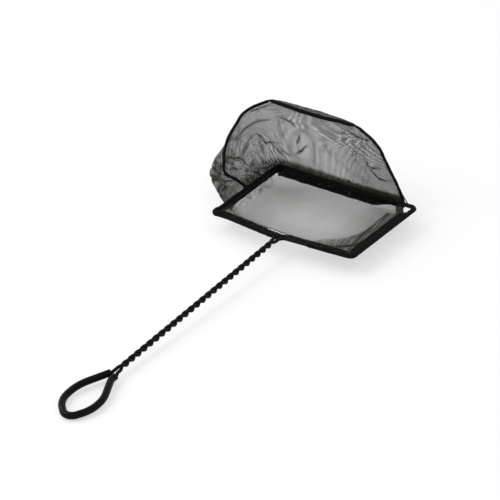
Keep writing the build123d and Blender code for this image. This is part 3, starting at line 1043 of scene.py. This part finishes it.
# Mesh beyond the closed end's seam
def closed_end_allowance():
    """The strip of both panels that stands beyond their seam."""
    us, ts = even(allowance_grid[0]), np.linspace(allowance_root, 1.0, allowance_grid[1])
    base = closed_route.at(us)[None]
    height = allowance_height * np.sin(np.pi * us) ** allowance_fullness
    height = height * (1.0 + allowance_wander * rough(us * allowance_bumps[0], 0.0 * us, seed=71.0))
    lean = allowance_lean[0] * rough(us * allowance_bumps[1], 0.0 * us, seed=72.0) + allowance_lean[1]
    way = np.stack([0.0 * us, lean, 1.0 + 0.0 * us], -1)[None]
    points = base + way * (height * ts[:, None])[..., None]
    across, along = cloth_lengths(points)
    folds = rough_cloth(across, along, sizes=(2.0, 4.0), seed=73.0)
    fold = allowance_fold[0] + allowance_fold[1] * folds
    return cloth_object("closed_end_allowance", points, laid_weave(across, along), fold, open_mesh)


allowance = closed_end_allowance()


# Front panel
def rim_reach(points):
    """Where lines from the middle of the mouth through points of the rim edge meet the wire."""
    reach = np.full(len(points), np.inf)
    for start, end in zip(rim_corners, rim_corners[1:]):
        side = end - start
        square = points[:, 0] * side[1] - points[:, 1] * side[0]
        share = (start[0] * side[1] - start[1] * side[0]) / np.where(np.abs(square) < 1e-9, 1e-9, square)
        reach = np.where(share > 0.0, np.minimum(reach, share), reach)
    hits = points * reach[:, None]
    hits[:, 2] = rim_height
    return hits


def slit_share(us):
    """1 where the front hem is slit for the handle and 0 away from there."""
    return climb(us, *slit_us[0]) * (1.0 - climb(us, *slit_us[1]))


def hem_strip(us):
    """The panel's edge inside the hems, which shows only where a hem is narrow."""
    edge = front_rim_edge.at(us)
    gap = rim_reach(edge) - edge
    reach = np.linalg.norm(gap, axis=1, keepdims=True)
    kept = 1.0 - strip_slit_share * slit_share(us)[:, None]
    ends = edge + gap * np.maximum(reach - strip_end_gap, strip_least) / reach * kept
    hem_end = inset(back_right, front_right, open_corner_gap)
    across_corner = mixed(right_seam_foot, hem_end, ((1.0 - us) / (1.0 - open_corner_us[1]))[:, None])
    ends = mixed(ends, across_corner, climb(us, *open_corner_us)[:, None])
    shares = np.linspace(1.0, 0.0, strip_rows, endpoint=False)[:, None, None]
    return mixed(edge[None], ends[None], shares)


def gusset_share(u, v):
    """1 where the right front corner is folded into a gusset and 0 away from there."""
    edge = np.interp(u, *zip(*gusset_edge), left=0.0, right=gusset_beyond)
    return climb(edge - v, low=-0.01, high=0.015)


def front_cloth():
    """The front panel with its wrinkles, gathers and creases."""
    us = even(front_grid[0])
    us = us + column_crowding * ((1.0 - np.cos(np.pi * us)) / 2.0 - us)
    vs = even(front_grid[1])
    u, v = np.broadcast_arrays(us[None], np.concatenate([np.zeros(strip_rows), vs])[:, None])
    points = np.concatenate([hem_strip(us), front_surface(us, vs)])
    weave = boxed_weave(points)
    across, along = cloth_lengths(points)
    along = along - along[[strip_rows]]
    beyond = np.maximum(along, 0.0)

    # Shape
    left_side = 1.0 - climb(u, low=0.12, high=0.3)
    under_mouth = 1.0 - climb(v, low=0.5, high=0.65)
    raised = climb(points[..., 2], low=2.0, high=14.0) * (v > 0.0)
    wall = climb(points[..., 2], low=1.0, high=4.0) * under_mouth
    lines = crumple(across, along, size=24.0, seed=1.0)
    fine_lines = crumple(across, along, size=11.0, seed=9.0)
    wrinkle = soft_wrinkles(across, along, heights=(1.4, 0.5), seed=2.0)
    wrinkle = wrinkle * (flat_wrinkle + raised * (raised_wrinkle + left_side))
    wrinkle += lines * raised * (raised_line + left_side)
    wrinkle = wrinkle * free_share(u, along, foot=(0.0, 10.0), end=12.0, side=0.05)
    waves = {"height": 0.5, "pitch": 3.0, "drift": 1.2, "drift_size": 11.0}
    wrinkle += gathers(across, along, **waves, start=2.0, foot=0.0, reach=9.0, seed=4.0)
    marks = crease_marks(points, front_surface, front_creases)
    points = points + normals(points) * (wrinkle + crease_height * marks)[..., None]
    points[..., 2] = np.maximum(points[..., 2], cloth_lowest)

    # How much the mesh closes up, from its folds and gathers and from painted shade and shadow
    x, y = points[..., 0], points[..., 1]
    streaks = rough_cloth(across, along, sizes=(1.8, 16.0), seed=5.0)
    gusset = gusset_share(u, v)
    bulging = climb(-x, low=73.0, high=81.0) * (1.0 - climb(v, low=0.52, high=0.75))
    # Painted shade over the mouth, deeper towards the back, the right, the front and the left
    mouth = mouth_painted_shade + mouth_back_painted_shade * climb(y, low=0.0, high=50.0)
    mouth += mouth_right_painted_shade * climb(x, low=8.0, high=58.0)
    mouth_front = mouth_front_painted_shade * climb(-y, low=-5.0, high=28.0)
    mouth += mouth_front + mouth_left_painted_shade * climb(-x, low=20.0, high=60.0)
    creased = bulge_line_fold * (lines + fine_lines) + bulge_streak_fold * streaks
    fold = front_crease_fold * marks + tone_patches(across, along, seed=6.0)
    fold += gusset * (gusset_fold[0] + gusset_fold[1] * streaks)
    fold += slit_fold * slit_share(u) * np.exp(-((along / slit_fold_width) ** 2))
    # Painted shade over the mouth, and the wall under it darkened partly for its slant and partly as painted
    # shade
    fold += mouth * under_mouth + wall_fold_and_shade * wall * (1.0 - gusset)
    fold += bulging * (bulge_fold + creased) + front_line_fold * lines * raised
    # Painted shadow of the left bar, fading away from the bar
    fold += fading(beyond, left_bar_painted_shadow, reach=12.0) * left_side * (1.0 - bulging)
    corner = climb(u, *open_corner_us) * np.exp(-((beyond / open_corner_fold_width) ** 4))
    fold += open_corner_fold * corner
    cloth = cloth_object("front_panel_mesh", points, weave, fold, open_mesh)
    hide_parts("front_panel")
    declare_sheet(points, [corner_cloth()])


def corner_cloth():
    """The bunched mesh that crosses the open corner, from the back hem to the right hem."""
    s = even(patch_grid[0])[None, :, None]
    t = even(patch_grid[1])[:, None, None]
    back = mixed(place(*corner_patch[0]), place(*corner_patch[1]), s)
    right = mixed(place(*corner_patch[3]), place(*corner_patch[2]), s)
    points = mixed(back, right, t)
    across, along = cloth_lengths(points)
    arch = np.sin(np.pi * t[..., 0])
    waves = rough_cloth(across, along, sizes=(2.2, 20.0), seed=91.0)
    points[..., 2] += patch_gather * waves * arch - patch_sag * arch * (1.0 - s[..., 0])
    fold = patch_fold[0] + patch_fold[1] * rough_cloth(across, along, sizes=(1.6, 9.0), seed=92.0)
    return cloth_object("open_corner_mesh", points, laid_weave(across, along), fold, open_mesh)


front_cloth()


# Back panel
def back_cloth():
    """The back panel with its gathered foot, wrinkles and creases."""
    us, vs = even(back_grid[0]), even(back_grid[1])
    points = back_surface(us, vs)
    across, along = cloth_lengths(points)
    u = np.broadcast_to(us[None], across.shape)

    # Shape
    free = free_share(u, along, foot=(8.0, 22.0), end=12.0, side=0.06)
    lines = crumple(across, along, size=30.0, seed=81.0)
    wrinkle = soft_wrinkles(across, along, heights=(1.3, 0.4), seed=82.0)
    wrinkle = (wrinkle + back_line_height * lines) * free
    waves = {"height": 0.4, "pitch": 2.8, "drift": 1.3, "drift_size": 10.0}
    wrinkle += gathers(across, along, **waves, start=3.0, foot=6.0, reach=8.0, seed=84.0)
    marks = crease_marks(points, back_surface, back_creases)
    points = points + normals(points) * (wrinkle + crease_height * marks)[..., None]

    # How much the mesh closes up
    foot_left = 1.0 - climb(u, low=0.2, high=0.34)
    foot_top = foot_height + foot_wander * rough_line(across, size=8.0, seed=85.0)
    foot_top = foot_top - foot_left_drop * foot_left
    streaks = rough_cloth(across, along, sizes=(1.8, 14.0), seed=87.0)
    thinning = foot_left_thinning - foot_left_streak * streaks
    fade_end = foot_top + foot_blur[1] + foot_left_blur * foot_left
    fold = (foot_fold - foot_left * thinning) * (1.0 - climb(along, foot_top - foot_blur[0], fade_end))
    fold += back_crease_fold * marks + back_line_fold * lines * free
    fold += tone_patches(across, along, seed=86.0) + hood_fold
    fold += hood_middle_fold * climb(u, low=0.2, high=0.4) + hood_right_fold * climb(u, low=0.65, high=0.85)
    fold += fading(along[-1] - along, hood_top_fold, reach=3.0)
    left_edge = fading(u * hood_width, hood_edge_folds[0], reach=3.0)
    fold += left_edge + fading((1.0 - u) * hood_width, hood_edge_folds[1], reach=2.5)

    cos, sin = math.cos(math.radians(weave_turn)), math.sin(math.radians(weave_turn))
    weave = laid_weave(across * cos - along * sin, across * sin + along * cos)
    cloth = cloth_object("back_panel_mesh", points, weave, fold, open_mesh)
    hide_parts("back_panel")
    declare_sheet(points, [allowance])


back_cloth()


# Floor, light and camera
def white_floor():
    """A plain pale floor, which glows for the camera and still takes the net's shadow."""
    mesh = bpy.data.meshes.new("floor")
    ends = (-floor_side, floor_side)
    mesh.from_pydata([(x, y, 0.0) for y in ends for x in ends], [], [(0, 1, 3, 2)])
    floor = in_scene("floor", mesh)
    floor.location.z = -floor_drop
    nodes = Nodes("floor")
    nodes.shade({"Base Color": (0.94, 0.94, 0.94, 1.0), "Roughness": 0.9, "Specular IOR Level": 0.0})
    path = nodes.add("LightPath").outputs
    seen = nodes.math("ADD", path["Is Camera Ray"], path["Is Glossy Ray"])
    seen = nodes.math("ADD", seen, path["Is Transmission Ray"])
    lit, glow = nodes.shader.outputs["BSDF"], nodes.add("Emission").outputs["Emission"]
    mix = nodes.add("MixShader", {"Fac": nodes.math("MULTIPLY", seen, floor_glow), 1: lit, 2: glow})
    nodes.feed(nodes.tree.nodes["Material Output"], {"Surface": mix.outputs["Shader"]})
    mesh.materials.append(nodes.material)


white_floor()

world = bpy.data.worlds.new("studio")
bpy.context.scene.world = world
world.use_nodes = True
background = world.node_tree.nodes["Background"].inputs
background["Color"].default_value = (1.0, 1.0, 1.0, 1.0)
background["Strength"].default_value = world_strength


def disk_lamp(name, size, energy, way, distance):
    """A round lamp that shines on the net from a direction."""
    data = bpy.data.lights.new(name, "AREA")
    data.shape = "DISK"
    data.size = size
    data.energy = energy
    lamp = in_scene(name, data)
    way = Vector(way).normalized()
    lamp.location = Vector(lamp_target) + way * distance
    lamp.rotation_euler = way.to_track_quat("Z", "Y").to_euler()


disk_lamp("key", size=1.8, energy=14.0, way=(-1.0, -0.4, 1.0), distance=1.6)
disk_lamp("glint", size=0.16, energy=1.2, way=(-0.75, -0.75, 1.3), distance=1.4)


def photo_camera():
    """The camera at the photograph's angle."""
    azimuth, elevation = math.radians(camera_azimuth), math.radians(camera_elevation)
    flat = math.cos(elevation)
    back = Vector((math.sin(azimuth) * flat, -math.cos(azimuth) * flat, math.sin(elevation)))
    data = bpy.data.cameras.new("camera")
    data.sensor_width = sensor_mm
    data.lens = camera_focal_pixels / image_side_pixels * sensor_mm
    data.clip_end = camera_far
    camera = in_scene("camera", data)
    camera.location = (Vector(camera_target) + back * camera_distance) * mm
    camera.rotation_euler = back.to_track_quat("Z", "Y").to_euler()
    bpy.context.scene.camera = camera


photo_camera()
bpy.context.scene.view_settings.view_transform = "Standard"
